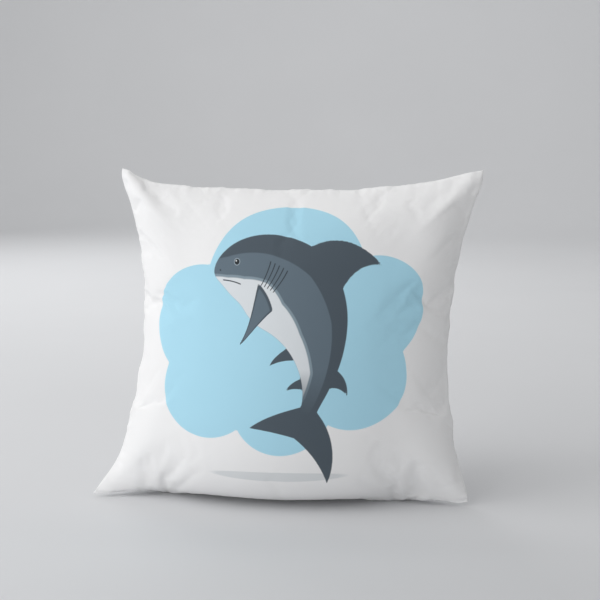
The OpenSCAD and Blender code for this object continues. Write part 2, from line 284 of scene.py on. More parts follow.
def new_object(name, data):
    ob = bpy.data.objects.new(name, data)
    bpy.context.scene.collection.objects.link(ob)
    return ob


def new_mesh(name, verts, faces):
    """A mesh that is shaded smooth."""
    me = bpy.data.meshes.new(name)
    me.from_pydata(np.asarray(verts, float).tolist(), [], [[int(i) for i in f] for f in faces], False)
    me.update()
    return new_object(name, me)


PATTERN_W, PATTERN_H = 0.457, 0.445      # rest size of the simulated cloth
FORM = stack(BACK_FORM, FRONT_FORM)
tt, ss = np.meshgrid(T, TAU, indexing="ij")
side_t = height_share(BACK_FORM[:, :1, 2])      # where the rows meet the side seams
flat_t = mix(tt, side_t, np.power(np.abs(ss), 4))
flat_grid = np.stack([ss * PATTERN_W / 2, np.zeros_like(ss), flat_t * PATTERN_H], -1)
FLAT = stack(flat_grid, flat_grid)
FACES = np.concatenate([quads(B_IDX, True), quads(F_IDX, False)])
EDGES = np.unique(np.sort(np.concatenate([FACES[:, [k, (k + 1) % 4]] for k in range(4)]), axis=1), axis=0)
DEGREE = np.bincount(EDGES.ravel(), minlength=len(FORM)).astype(float)[:, None]


def relaxed(d, share=0.7, rounds=1):
    """Values at the vertices, moved each round by a share of the way to their neighbours' mean."""
    for _ in range(rounds):
        total = np.empty_like(d)
        for k in range(d.shape[1]):
            total[:, k] = (np.bincount(EDGES[:, 0], d[EDGES[:, 1], k], len(d))
                           + np.bincount(EDGES[:, 1], d[EDGES[:, 0], k], len(d)))
        d = d + share * (total / DEGREE - d)
    return d


CLOTH = {
    "quality": 6, "mass": 0.25, "tension_stiffness": 12, "compression_stiffness": 12, "shear_stiffness": 4,
    "bending_stiffness": 0.15, "tension_damping": 8, "compression_damping": 8, "shear_damping": 8,
    "bending_damping": 0.5, "air_damping": 2, "use_pressure": True, "uniform_pressure_force": 6,
    "vertex_group_mass": "pins", "pin_stiffness": 4,
}
LAST_FRAME = 25


def simulate():
    """Blows up the flat cloth from the cushion's form, and returns where its points end."""
    ob = new_mesh("cloth_run", FORM, FACES)
    ob.shape_key_add(name="Basis")
    flat = ob.shape_key_add(name="flat")
    flat.data.foreach_set("co", FLAT.ravel())
    pinned = BACK_FORM[..., 2] < 0.0005
    pinned[ZIP_ROWS[0] - 3:ZIP_ROWS[2] + 4, np.abs(TAU) <= TAU_SLOT + 0.03] = True
    ob.vertex_groups.new(name="pins").add(B_IDX[pinned].tolist(), 1.0, "REPLACE")
    mod = ob.modifiers.new("cloth", "CLOTH")
    for key, value in CLOTH.items():
        setattr(mod.settings, key, value)
    mod.settings.effector_weights.gravity = 0
    mod.settings.rest_shape_key = flat
    mod.collision_settings.use_collision = mod.collision_settings.use_self_collision = False
    scene = bpy.context.scene
    for span_of in (scene, mod.point_cache):
        span_of.frame_start, span_of.frame_end = 1, 30
    for f in range(1, LAST_FRAME + 1):
        scene.frame_set(f)
    run = ob.evaluated_get(bpy.context.evaluated_depsgraph_get())
    out = np.empty(len(FORM) * 3)
    run.to_mesh().vertices.foreach_get("co", out)
    run.to_mesh_clear()
    scene.frame_set(1)
    bpy.data.objects.remove(ob, do_unlink=True)
    return out.reshape(-1, 3)


# ---- outline of the pillow as it stands: a little lopsided, as a used one is ----
SWAY = 0.050                 # how far it leans over to the right, per metre of height
LEFT_INSET, RIGHT_INSET = 0.043, 0.031
VISIBLE_DIP = 0.0235
# waves of the side seams: side, its outward sign, size in mm, height and length
SIDE_WAVES = [("left", -1, 2.2, 0.146, 0.058), ("left", -1, 0.9, 0.27, 0.043),
              ("right", 1, 1.3, 0.095, 0.050), ("right", 1, 1.0, 0.245, 0.040)]
# how far each corner is drawn out, in mm: the lower ones droop, and the left one comes forward
CORNERS = [(B_IDX[0, 0], [-11, -12, -4]), (B_IDX[0, -1], [6, 0, -3]),
           (B_IDX[-1, 0], [-4, 0, 7]), (B_IDX[-1, -1], [5, 0, 5])]


def seam_target(p, where):
    """Where a border point of the form ends up, before the fine wrinkles."""
    out = p.copy()
    q = np.clip(height_share(p[:, 2]), 0, 1)
    hump = 4 * q * (1 - q)
    line = mix(BASE_W, TOP_W, q) / 2
    left, right, top = (where == k for k in ("left", "right", "top"))
    out[left, 0] = -(line - LEFT_INSET * hump ** mix(0.5, 1.3, q))[left]
    out[right, 0] = (line - RIGHT_INSET * hump ** 1.1)[right]
    u = p[:, 0] / (TOP_W / 2)
    dip = VISIBLE_DIP * np.clip(1 - u * u, 0, 1) ** mix(0.35, 1.3, (u + 1) / 2)
    out[top, 2] = (CORNER_H - dip)[top]
    out[:, 1] = mid_y(out[:, 2])
    out[:, 0] += SWAY * (out[:, 2] - CORNER_H / 2)
    return out


def seam_ripple(p, where):
    """Waves of the outline itself: out from the pillow's middle, by where each point lies."""
    out = np.zeros_like(p)
    x, z = p[:, 0], p[:, 2]
    for side, way, size, at, length in SIDE_WAVES:
        wave = size * MM * np.cos(2 * math.pi * (z - at) / length) * near(z - at, 0.055)
        out[:, 0] += np.where(where == side, way * wave, 0)
    crest = 0.9 * np.sin(2 * math.pi * x / 0.083 + 0.6) + 0.6 * np.sin(2 * math.pi * x / 0.047 + 2.0)
    out[:, 2] += np.where(where == "top", crest * MM * (1 - (x / 0.22) ** 2), 0)
    return out


def border_loop():
    """Indices round the seam, and which side each lies on."""
    sides = [B_IDX[0, :-1], B_IDX[:-1, -1], B_IDX[-1, :0:-1], B_IDX[:0:-1, 0]]
    return np.concatenate(sides), np.repeat(["bottom", "right", "top", "left"], [len(s) for s in sides])


def from_corner(corner):
    """Distance from a corner, over the cloth laid flat."""
    return np.linalg.norm(FLAT - FLAT[corner], axis=1, keepdims=True)


def sim_wrinkles(free):
    """The simulation's wrinkles: deep beside the seams and at the corners, faint over the middle."""
    moved = simulate() - FORM
    broad = relaxed(moved, rounds=150)
    x, z = np.abs(FLAT[:, 0]), FLAT[:, 2]
    from_seam = np.minimum(PATTERN_W / 2 - x, np.minimum(z, PATTERN_H - z))
    out = (moved - broad) * free * mix(1.0, 0.3, smooth((from_seam - 0.03) / 0.07))[:, None]
    # fainter up the middle near its two ends, and near two of the front's corners
    from_end = np.abs(np.abs(z / PATTERN_H - 0.5) - 0.5)
    out *= (1 - 0.7 * near(x, 0.075) * smooth(1.2 - from_end / 0.2))[:, None]
    for corner, less in ((F_IDX[0, 0], 0.85), (F_IDX[-1, -1], 0.6)):
        out *= 1 - less * near(from_corner(corner), 0.085)
    return out


def shape_cover():
    """The cover's grid points: the form, its outline, and the simulation's wrinkles."""
    # 0 beside the zip, whose shape is the CAD's, and 1 away from it
    row = smooth((np.abs(ROW_RUN - ROW_RUN[ZIP_ROWS[1]]) - 0.016) / 0.035)
    col = smooth((np.abs(TAU) - TAU_SLOT - 0.03) / 0.16)
    free_back = 1 - (1 - row[:, None]) * (1 - col[None, :])
    free = stack(free_back[..., None], np.ones((NV, NU, 1)))
    form = FORM.copy()
    form[:, 0] += SWAY * (form[:, 2] - CORNER_H / 2) * free[:, 0]
    wrinkle = sim_wrinkles(free)
    loop, where = border_loop()
    gap = eased_loop(seam_target(FORM[loop], where) - form[loop] - wrinkle[loop], 40)
    gap += seam_ripple(FORM[loop], where)
    pull = np.zeros_like(FORM)
    pull[loop] = gap
    for _ in range(400):
        pull = relaxed(pull)
        pull[loop] = gap
        pull *= free
    p = form + wrinkle + pull
    # the corners turn out blunt
    for corner, move in CORNERS:
        away = from_corner(corner)
        p += near(away, 0.030) * MM * move
        p = relaxed(p, 0.6 * near(away, 0.013), 4)
    p[:, 2] = np.maximum(p[:, 2], 0)
    return p


def cubic(a):
    """Doubles a grid's rows, with Catmull-Rom points between them."""
    e = np.concatenate([2 * a[:1] - a[1:2], a, 2 * a[-1:] - a[-2:-1]])
    out = np.empty((2 * len(a) - 1,) + a.shape[1:])
    out[0::2], out[1::2] = a, (-e[:-3] + 9 * e[1:-2] + 9 * e[2:-1] - e[3:]) / 16
    return out


def finer(grid):
    return cubic(cubic(grid).swapaxes(0, 1)).swapaxes(0, 1)


def outward(p, side):
    """A grid's unit normals, out of the cushion."""
    return unit(-side * np.cross(np.gradient(p, axis=1), np.gradient(p, axis=0)))


P = shape_cover()
BACK_P, FRONT_P = finer(P[B_IDX]), finer(P[F_IDX])
T2 = finer(np.stack([ss, tt], -1))
TAU2, TV2 = T2[..., 0], T2[..., 1]
FLAT_SIDE = 0.457                          # the cover's finished side, laid flat
U2, V2 = TAU2 * FLAT_SIDE / 2, TV2 * FLAT_SIDE
PUCKERS = [(0.0095, 0.25), (0.014, 0.35), (0.023, 0.4), (0.037, 0.4)]      # length in m, size in mm
rng = np.random.default_rng(7)


def ripple(s):
    """A sum of sines along a seam, whose lengths and phases are drawn afresh."""
    out = np.zeros_like(s)
    for length, size in PUCKERS:
        out += size * np.sin(2 * math.pi * s / (length * rng.uniform(0.85, 1.15)) + rng.uniform(0, 6.28))
    return out


def pucker(points, side):
    """Small puckers across the seams, and the seam's rolled edge."""
    left, right = (1 + TAU2) / 2 * FLAT_SIDE, (1 - TAU2) / 2 * FLAT_SIDE
    low, high = TV2 * FLAT_SIDE, (1 - TV2) * FLAT_SIDE
    move = np.zeros_like(TAU2)
    for d, along, ends in ((left, V2, (low, high)), (right, V2 + 1.3, (low, high)),
                           (low, U2 + 2.1, (left, right)), (high, U2 + 3.7, (left, right))):
        move += MM * ripple(along) * np.exp(-d / 0.012) * smooth(d / 0.004)
        move += 0.8 * MM * near(d - 0.0028, 0.0022) * smooth(np.minimum(*ends) / 0.012)
    if side == BACK:
        band = smooth((np.abs(V2 - TV_ZIP * FLAT_SIDE) - 0.018) / 0.02)
        past_slot = np.abs(TAU2) - TAU_SLOT
        move *= 1 - (1 - band) * (1 - smooth(past_slot / 0.05))
        # the plain seam beyond the slot's ends: a groove between two soft rolls
        rows_off = np.abs(np.arange(len(TV2)) - 2 * ZIP_ROWS[1])[:, None]
        beyond = smooth((past_slot - 0.01) / 0.03) * smooth((1 - np.abs(TAU2)) / 0.03)
        wavy = 1 + 0.35 * np.sin(U2 / 0.0028) * np.sin(U2 / 0.0071 + 1)
        move += beyond * wavy * MM * (0.5 * near(rows_off - 4, 1.3) - 0.8 * near(rows_off, 1.1))
    out = points + outward(points, side) * move[..., None]
    out[..., 2] = np.maximum(out[..., 2], 0)
    out[0], out[-1], out[:, 0], out[:, -1] = points[0], points[-1], points[:, 0], points[:, -1]
    return out


FRONT_P, BACK_P = pucker(FRONT_P, FRONT), pucker(BACK_P, BACK)


# ---- meshes ----
def inner_side(points, other, side, thick):
    """The grid's inner face. Along the seam it lies between the two panels' inner faces."""
    n = outward(points, side)
    way = unit(n + outward(other, -side))
    way[1:-1, 1:-1] = n[1:-1, 1:-1]
    inner = points - way * thick
    inner[..., 2] = np.maximum(inner[..., 2], np.minimum(thick, points[..., 2] + thick))
    return inner


def mesh_object(name, verts, faces, node=None, body="cushion", smooth_angle=50):
    """A piece that rides on a body, and may stand for a CAD node."""
    ob = new_mesh(name, verts, faces)
    ob.data.validate()
    if smooth_angle:
        ob.data.set_sharp_from_angle(angle=math.radians(smooth_angle))
    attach(ob, body)
    if node:
        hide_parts(node)
    return ob


def set_layer(ob, name, values):
    """A row of values for each vertex: pairs go on as a UV map, and single numbers as an attribute."""
    values = np.asarray(values, np.float32)
    if values.ndim == 1:
        ob.data.attributes.new(name, "FLOAT", "POINT").data.foreach_set("value", values)
        return
    layer = ob.data.uv_layers.new(name=name)
    loops = np.empty(len(ob.data.loops), np.int32)
    ob.data.loops.foreach_get("vertex_index", loops)
    layer.data.foreach_set("uv", values[loops].ravel())


def closed_faces(cells, n):
    """Faces of a sheet with an inner side: cells, the same cells n vertices on, and its rim."""
    edge = np.concatenate([cells[:, [k, (k + 1) % 4]] for k in range(4)])
    a, b = edge[~np.isin(edge[:, 0] * n + edge[:, 1], edge[:, 1] * n + edge[:, 0])].T
    return np.concatenate([cells, cells[:, ::-1] + n, np.stack([b, a, a + n, b + n], 1)])


def shell(name, node, outer, inner, uv, keep=None, flip=False, values=()):
    """A closed mesh between two grids of the same size, with the cells that keep says."""
    n = outer[..., 0].size
    cells = quads(np.arange(n).reshape(outer.shape[:2]), flip)
    if keep is not None:
        cells = cells[keep.ravel()]
    used, faces = np.unique(closed_faces(cells, n), return_inverse=True)
    verts = np.concatenate([outer.reshape(-1, 3), inner.reshape(-1, 3)])
    ob = mesh_object(name, verts[used], faces.reshape(-1, 4), node)
    for key, v in {"cloth": uv, **dict(values)}.items():
        set_layer(ob, key, v.reshape((n,) + v.shape[2:])[used % n])
    return ob


# ---- the print: a generic shark in side view on a lobed pale-blue cloud ----
# Millimetres on the cover laid flat: x from the middle, y up from the bottom seam.
# The cloud's round lobes are (x, y, radius); the shadow is (x, y, half width, half height).
CLOUD = [(-2, 312, 106), (-109, 268, 68), (-91, 193, 65), (4, 176, 63), (93, 206, 64), (110, 284, 66),
         (0, 250, 106)]
SHADOW = 3, 84, 82, 6.5
SPINE = np.array([(-98, 326), (-6, 372), (96, 258), (16, 122)])     # control points of the shark's axis


def to_polygon(x, y, poly):
    """Signed distance to a closed polygon, negative inside."""
    best = np.full(x.shape, np.inf)
    inside = np.zeros(x.shape, bool)
    for (ax, ay), (bx, by) in zip(poly, np.roll(poly, -1, 0)):
        dx, dy = bx - ax, by - ay
        t = np.clip(((x - ax) * dx + (y - ay) * dy) / (dx * dx + dy * dy), 0, 1)
        best = np.minimum(best, np.hypot(x - ax - t * dx, y - ay - t * dy))
        if dy:
            inside ^= ((ay > y) != (by > y)) & (x < dx * (y - ay) / dy + ax)
    return np.where(inside, -best, best)


def rounded(points, n=8):
    """A closed smooth outline through points."""
    b = np.array(points, float)
    a, c, d = (np.roll(b, k, 0) for k in (1, -1, -2))
    t = np.arange(n)[:, None, None] / n
    curve = 2 * b + (c - a) * t + (2 * a - 5 * b + 4 * c - d) * t * t + (3 * b - a - 3 * c + d) * t ** 3
    return 0.5 * curve.swapaxes(0, 1).reshape(-1, 2)


def bow(a, b, rise, n=10):
    """Points from a towards b along a curve that bows to the left of the way there."""
    a, b = np.array(a, float), np.array(b, float)
    t = np.arange(n)[:, None] / n
    return a + (b - a) * t + np.array([a[1] - b[1], b[0] - a[0]]) * rise * 4 * t * (1 - t)


def fin(front, tip, rear, lead, trail):
    way = 1 if tip[1] > 0 else -1
    return np.concatenate([bow(front, tip, way * lead), bow(tip, rear, -way * trail)])


# outlines of the straightened shark: millimetres back from its nose, and up from its axis
GIRTH = 1.18                # how stout the shark is
SHARK_L = 300
BODY = rounded([
    (0, -2), (3, 6), (13, 15), (32, 26), (58, 36), (88, 43), (118, 44), (152, 38), (192, 26), (226, 15),
    (252, 9), (272, 11), (280, 0), (272, -9), (252, -7.5), (226, -12), (192, -23), (152, -37), (118, -46),
    (88, -48), (58, -44), (34, -35), (16, -25), (5, -12),
])
FINS = [
    fin((92, 38), (138, 84), (140, 36), 0.13, 0.14),        # first dorsal
    fin((206, 19), (230, 34), (225, 13), 0.12, 0.15),       # second dorsal
    fin((172, -26), (200, -47), (194, -20), 0.12, 0.15),    # pelvic
    fin((216, -13), (236, -27), (231, -9), 0.12, 0.15),     # anal
    fin((248, 4), (314, 52), (285, -9), 0.10, 0.07),        # tail, upper lobe
    fin((248, -4), (306, -44), (285, 9), 0.10, 0.07),       # tail, lower lobe
]
PECTORAL = fin((62, -12), (118, -82), (108, -20), 0.15, 0.12)
BELLY = [(0, -3), (16, -8), (40, -11), (75, -9), (110, -16), (160, -14), (210, -6), (240, -9), (262, -16),
         (330, -16)]
SPINE_TOP = [(0, 13), (20, 12), (60, 17), (110, 22), (160, 19), (210, 10), (255, 2), (330, 0)]


def spine_coordinates(x, y):
    """Distance along the shark's axis from its nose, and out from it towards its back."""
    t = np.linspace(0, 1.15, 420)[:, None]
    c = sum(k * (1 - t) ** (3 - j) * t ** j * SPINE[j] for j, k in enumerate((1, 3, 3, 1)))
    run = arc_length(c)
    way = unit(np.gradient(c, axis=0))
    q = np.stack([x.ravel(), y.ravel()], -1)
    at = np.argmin(((q[:, None] - c[None]) ** 2).sum(-1), axis=1)
    off = q - c[at]
    s = run[at] + (off * way[at]).sum(-1)
    r = way[at, 0] * off[:, 1] - way[at, 1] * off[:, 0]
    scale = SHARK_L / np.interp(1.0, t[:, 0], run)
    return (s * scale).reshape(x.shape), (r * scale / GIRTH).reshape(x.shape)


def print_values():
    """What the front's material needs to know, mostly signed distances in mm."""
    x, y = U2 / MM, V2 / MM
    s, r = spine_coordinates(x, y)
    body = to_polygon(s, r, BODY)
    sx, sy, sw, sh = SHADOW
    return {
        "cloud": np.min([np.hypot(x - cx, y - cy) - size for cx, cy, size in CLOUD], axis=0),
        "shadow": (np.hypot((x - sx) / sw, (y - sy) / sh) - 1) * 5,
        "shark": np.min([body] + [to_polygon(s, r, f) for f in FINS], axis=0),
        "torso": np.maximum(body, (s - 262) / 2),
        "pectoral": to_polygon(s, r, PECTORAL),
        "belly": r - np.interp(s, *zip(*BELLY)),
        "ridge": np.interp(s, *zip(*SPINE_TOP)) - r,
        "body": np.stack([s, r], -1) * 0.01,
    }


# ---- cover panels ----
FRONT_IN = inner_side(FRONT_P, BACK_P, FRONT, COVER_T)
BACK_IN = inner_side(BACK_P, FRONT_P, BACK, COVER_T)
UV = np.stack([U2, V2], -1)
row_of, col_of = np.mgrid[0:len(TAU2) - 1, 0:TAU2.shape[1] - 1]
in_slot = (col_of >= 2 * SLOT[0]) & (col_of < 2 * SLOT[1])
j0, j1, j2 = (2 * j for j in ZIP_ROWS)
upper_cells = row_of >= np.where(in_slot, j2, j1)
lower_cells = row_of < np.where(in_slot, j0, j1)
cover_front = shell("cover_front", "front_panel", FRONT_P, FRONT_IN, UV, values=print_values())
cover_back_upper = shell("cover_back_upper", "back_panel_upper", BACK_P, BACK_IN, UV, upper_cells, True)
cover_back_lower = shell("cover_back_lower", "back_panel_lower", BACK_P, BACK_IN, UV, lower_cells, True)


# ---- small meshes, as (verts, faces) pairs ----
def gather(parts):
    """Joins pairs into one."""
    verts, faces, at = [], [], 0
    for v, f in parts:
        verts.append(np.asarray(v, float))
        faces += [[i + at for i in face] for face in f]
        at += len(v)
    return np.concatenate(verts), faces


def tube_faces(n, k, closed=False):
    """Faces that join n rings of k points, with end caps unless the last ring meets the first."""
    faces = [[i * k + j, i * k + (j + 1) % k, (i + 1) % n * k + (j + 1) % k, (i + 1) % n * k + j]
             for i in range(n if closed else n - 1) for j in range(k)]
    return faces if closed else faces + [list(range(k))[::-1], list(range((n - 1) * k, n * k))]


def sweep(path, section, ref, closed=False):
    """A tube along path. section holds (across, along ref) offsets, turning anticlockwise."""
    section = np.asarray(section, float)
    way = unit(np.roll(path, -1, 0) - np.roll(path, 1, 0) if closed else np.gradient(path, axis=0))
    across = unit(np.cross(way, ref))
    up = np.cross(across, way)
    rings = path[:, None] + across[:, None] * section[None, :, :1] + up[:, None] * section[None, :, 1:]
    return rings.reshape(-1, 3), tube_faces(len(path), len(section), closed)


def circle(radius, sides=6):
    return [(radius * cos_d(360 * k / sides), radius * sin_d(360 * k / sides)) for k in range(sides)]


def soft_box(w, h, r):
    """Section of a bar with rounded edges."""
    return [(sx * (w / 2 - r) + r * cos_d(a), sy * (h / 2 - r) + r * sin_d(a))
            for sx, sy, start in ((1, 1, 0), (-1, 1, 90), (-1, -1, 180), (1, -1, 270))
            for a in (start, start + 30, start + 60, start + 90)]


def lifted(outline, out):
    """An outline of (x, up) as points that lie out from the zip."""
    return np.insert(outline, 1, out, axis=1)


def prism(outline, low, high, r):
    """A plate with rounded edges, from an anticlockwise outline of (x, up), out from low to high."""
    turn = unit(np.roll(outline, -1, 0) - np.roll(outline, 1, 0))
    inward = np.stack([-turn[:, 1], turn[:, 0]], 1)
    rings = [lifted(outline + inward * d, out)
             for d, out in ((r, low), (r * 0.3, low + r * 0.3), (0, low + r),
                            (0, high - r), (r * 0.3, high - r * 0.3), (r, high))]
    return np.concatenate(rings), [f[::-1] for f in tube_faces(len(rings), len(outline))]


def densify(outline, step=0.25):
    """A closed outline with evenly spaced points and eased corners."""
    p = np.asarray(outline, float)
    out = []
    for a, b in zip(p, np.roll(p, -1, 0)):
        m = max(1, int(np.linalg.norm(b - a) / step))
        out += [a + (b - a) * t / m for t in range(m)]
    return eased_loop(np.array(out), 3)


def bar(x0, x1, half, step):
    """Outline of a bar from x0 to x1, and half to each side."""
    return densify([(x0, -half), (x1, -half), (x1, half), (x0, half)], step)


# ---- the zip, in its own frame: millimetres along it, out of the cushion and up its band ----
DEG_PER_MM = math.degrees(MM / ZIP_R)
TAPE_OUT, TAPE_T, TAPE_W, TAPE_SPLIT = -1.3, 0.5, 12.0, 1.0
CHAIN_OUT, CHAIN_HALF = 0.2, 2.2
PLATE_OUT, PLATE_IN, PLATE_T = 0.5, -2.1, 1.0
HALF_ANGLE = math.degrees(ZIP_HALF_ANGLE)
SLOT_END = math.degrees(SLOT_ANGLE)
TAPE_END = SLOT_END + 5 * DEG_PER_MM
SLIDER_L, STOP_L = 8.6, 3.0
SLIDER_AT = -HALF_ANGLE + (SLIDER_L / 2 + 0.3) * DEG_PER_MM
STOP_HALF = STOP_L / 2 * DEG_PER_MM
COIL_FROM, COIL_TO = SLIDER_AT + 0.2, HALF_ANGLE - 2 * STOP_HALF - 0.1
LOOPS = 224
SIDES = ((1, "upper"), (-1, "lower"))


def on_zip(angle, x=0.0, out=0.0, up=0.0):
    angle, x, out, up = np.broadcast_arrays(*(np.asarray(v, float) for v in (angle, x, out, up)))
    c, s = math.cos(ZIP_TILT), math.sin(ZIP_TILT)
    y, z = ZIP_R / MM + out * c + up * s, ZIP_Z / MM - out * s + up * c
    t = np.radians(angle)
    return np.stack([x * np.cos(t) - y * np.sin(t), AXIS_Y / MM + x * np.sin(t) + y * np.cos(t), z], -1) * MM


def zip_piece(name, node, parts, at, body="cushion"):
    """A piece from parts in the zip's frame at one angle."""
    v, f = gather(parts)
    return mesh_object(name, on_zip(at, *v.T), f, node, body, 40)


def way_at(angle, *step):
    """The way that a step from the zip's line points, as a unit vector."""
    return (on_zip(angle, *step) - on_zip(angle)) / MM


def tape(way, half):
    angles = np.linspace(-TAPE_END, TAPE_END, 420)
    ups = way * np.linspace(TAPE_SPLIT, TAPE_SPLIT + TAPE_W, 27)
    rib = 0.05 * np.cos(np.pi * np.arange(27))
    rib[[0, -1]] = 0
    a, u = np.meshgrid(angles, ups)
    uv = np.stack([np.radians(a) * ZIP_R, u * MM], -1)
    ob = shell("woven_zip_tape_" + half, "zip_tape_" + half, on_zip(a, 0, TAPE_OUT - 0.06 + rib[:, None], u),
               on_zip(a, 0, TAPE_OUT - TAPE_T, u), uv, flip=way > 0)
    return ob


def coil(way, half):
    """A spiral of nylon, its heads staggered against the other side's."""
    turn = np.arange(LOOPS * 12 + 1) / 12
    phase = turn * 360 + (180 if way > 0 else 0)
    angle = mix(COIL_FROM, COIL_TO, turn / LOOPS)
    wide, high = (np.sign(v) * np.abs(v) ** 0.8 for v in (cos_d(phase), sin_d(phase)))
    path = on_zip(angle, 0, -0.54 + 0.50 * high, way * (1.2 + 0.80 * wide))
    coiled = sweep(path, circle(0.22 * MM), way_at(angle, 1))
    return mesh_object("spiral_zip_coil_" + half, *coiled, "zip_coil_" + half)


def chain_thread(way):
    """The stitching that holds a coil to its tape."""
    turn = np.arange(LOOPS * 4 + 1) / 4
    angle = mix(COIL_FROM, COIL_TO, turn / LOOPS)
    path = on_zip(angle, 0, 0.27 - 0.05 * cos_d(turn * 360), way * (1.25 + 0.12 * sin_d(turn * 180)))
    return sweep(path, circle(0.10 * MM, 5), way_at(angle, 0, 1))


def stitch(a, b, out, up, radius=0.2, tilt=0.0):
    t = np.linspace(0, 1, 7)
    angle = mix(a, b, t)
    dive = 0.28 * (1 - np.sin(np.pi * t) ** 0.5)
    path = on_zip(angle, 0, out - dive, up + tilt * (t - 0.5))
    return sweep(path, circle(radius * MM), way_at(angle, 0, 1))


def topstitches():
    count = round(2 * SLOT_END / (3.3 * DEG_PER_MM))
    step, gap = 2 * SLOT_END / count, 0.25 * DEG_PER_MM
    starts = [-SLOT_END + k * step + gap for k in range(count)]
    return [stitch(a, a + step - 2 * gap, 0.3, way * 6.7) for way in (-1, 1) for a in starts]


def bartacks():
    half = 0.8 * DEG_PER_MM
    return [stitch(at - half, at + half, 0.45 + 0.05 * (k % 2), -5.0 + 0.417 * k, 0.23, 0.15 * (-1) ** k)
            for at in (-SLOT_END - 0.9, SLOT_END + 0.9) for k in range(25)]


def crimp(width, high, up):
    """A metal stop, pinched in the middle."""
    low = TAPE_OUT + 0.1
    x = np.linspace(-STOP_L / 2, STOP_L / 2, 9)
    pinch = 1 - 0.16 * near(x, 0.6)
    ends = np.clip((STOP_L / 2 - np.abs(x)) / 0.3, 0.55, 1)
    section = np.array(soft_box(width, high - low, min(width, high - low) * 0.3))
    k = len(section)
    v = [np.stack([np.full(k, a), (low + high) / 2 + section[:, 1] * p * e, up + section[:, 0] * e], 1)
         for a, p, e in zip(x, pinch, ends)]
    return np.concatenate(v), tube_faces(len(x), k)


def slider():
    h = SLIDER_L / 2
    plate = densify([(h, -2.8), (h, 2.8), (h - 0.9, 3.7), (h - 3, 3.7), (-h + 0.6, 3.3), (-h, 2.7),
                     (-h, -2.7), (-h + 0.6, -3.3), (h - 3, -3.7), (h - 0.9, -3.7)])
    lip = densify([(h - 0.5, 2.55), (h - 1.0, 3.6), (h - 3, 3.6), (-h + 0.7, 3.2), (-h + 0.3, 2.55)])
    top = PLATE_OUT + PLATE_T
    parts = [prism(plate, PLATE_OUT, top, 0.3), prism(plate, PLATE_IN - PLATE_T, PLATE_IN, 0.3)]
    parts += [prism(side, TAPE_OUT + 0.3, PLATE_OUT + 0.2, 0.15) for side in (lip * (1, -1), lip[::-1])]
    parts.append(prism(bar(h - 3.2, h - 0.8, 0.1, 0.6), PLATE_IN - 0.2, PLATE_OUT + 0.2, 0.03))
    # the arch that holds the pull, with a low collar under each foot
    turn = np.linspace(0, 180, 25)
    wide, high = np.abs(cos_d(turn)) ** 0.42 * np.sign(cos_d(turn)), np.abs(sin_d(turn)) ** 0.42
    arch = np.stack([2.85 * wide, top - 0.1 + 2.05 * high, np.zeros(25)], 1)
    parts.append(sweep(arch, soft_box(1.4, 0.7, 0.2), (0, 0, 1.0)))
    parts += [prism(bar(x - 0.7, x + 0.7, 0.9, 0.3), top - 0.2, top + 0.3, 0.15) for x in (-2.85, 2.85)]
    return zip_piece("slider_body", "zip_slider", parts, SLIDER_AT, "slider")


def pull():
    """A wire ring through the slider's arch, and a tab with a hole."""
    out = PLATE_OUT + PLATE_T + 0.8
    wire = lifted(densify([(0, -1.6), (0, 1.6), (-4.5, 1.6), (-4.5, -1.6)], 0.3), out)
    # the tab: rings from its outline in to its hole, as (in from the outline or out from the hole, up)
    centre, hole, n = -15.2, 1.1, 72
    outline = densify([(-4.6, -1.9), (-4.6, 1.9), (-6.4, 2.5), (-8.5, 3), (-16, 3)]
                      + [(-16 + 3 * cos_d(a), 3 * sin_d(a)) for a in range(100, 261, 10)]
                      + [(-16, -3), (-8.5, -3), (-6.4, -2.5)], 0.2) - (centre, 0)
    angle = np.linspace(0, 2 * np.pi, n, endpoint=False)
    edge = np.interp(angle, np.arctan2(outline[:, 1], outline[:, 0]), np.hypot(*outline.T), period=2 * np.pi)
    rings = [(np.maximum(edge - d, hole + 0.7), up)
             for d, up in ((0, 0.42), (0.14, 0.55), (0.3, 0.6), (0.75, 0.6), (1.0, 0.42))]
    rings += [(np.full(n, hole + d), up) for d, up in ((0.62, 0.42), (0.42, 0.58), (0.14, 0.56), (0, 0.42))]
    rings += [(r, -up) for r, up in rings[::-1]]
    spokes = np.stack([np.cos(angle), np.sin(angle)], 1)
    tab = [lifted(spokes * r[:, None] + (centre, 0), out + up) for r, up in rings]
    parts = [sweep(wire, circle(0.55, 12), (0, 1.0, 0), closed=True),
             (np.concatenate(tab), tube_faces(len(tab), n, closed=True))]
    return zip_piece("pull_tab", "zip_pull", parts, SLIDER_AT, "pull")


tapes = [tape(*side) for side in SIDES]
coils = [coil(*side) for side in SIDES]
chain_stitches = mesh_object("zip_chain_thread", *gather([chain_thread(1), chain_thread(-1)]))
top_stitches = mesh_object("topstitches", *gather(topstitches()), "zip_topstitching")
tacks = mesh_object("bartack_stitches", *gather(bartacks()), "zip_bartacks")
END_BAR = CHAIN_HALF - 0.95      # width of each top stop
top_stops = zip_piece("crimped_top_stops", "zip_top_stops", [
    crimp(END_BAR, CHAIN_OUT, way * (0.95 + END_BAR / 2)) for way in (-1, 1)], -HALF_ANGLE - STOP_HALF)
bottom_stop = zip_piece("crimped_bottom_stop", "zip_bottom_stop", [
    crimp(2 * CHAIN_HALF + 0.6, CHAIN_OUT + 0.3, 0)], HALF_ANGLE - STOP_HALF)
zip_slider, zip_pull = slider(), pull()


# ---- inside the cover: seam allowances, tag, insert and filling ----
PLANE = np.array([0, math.cos(LEAN), -math.sin(LEAN)])      # across the seams' plane
CENTRE = np.array([0, float(mid_y(CORNER_H / 2)), CORNER_H / 2])


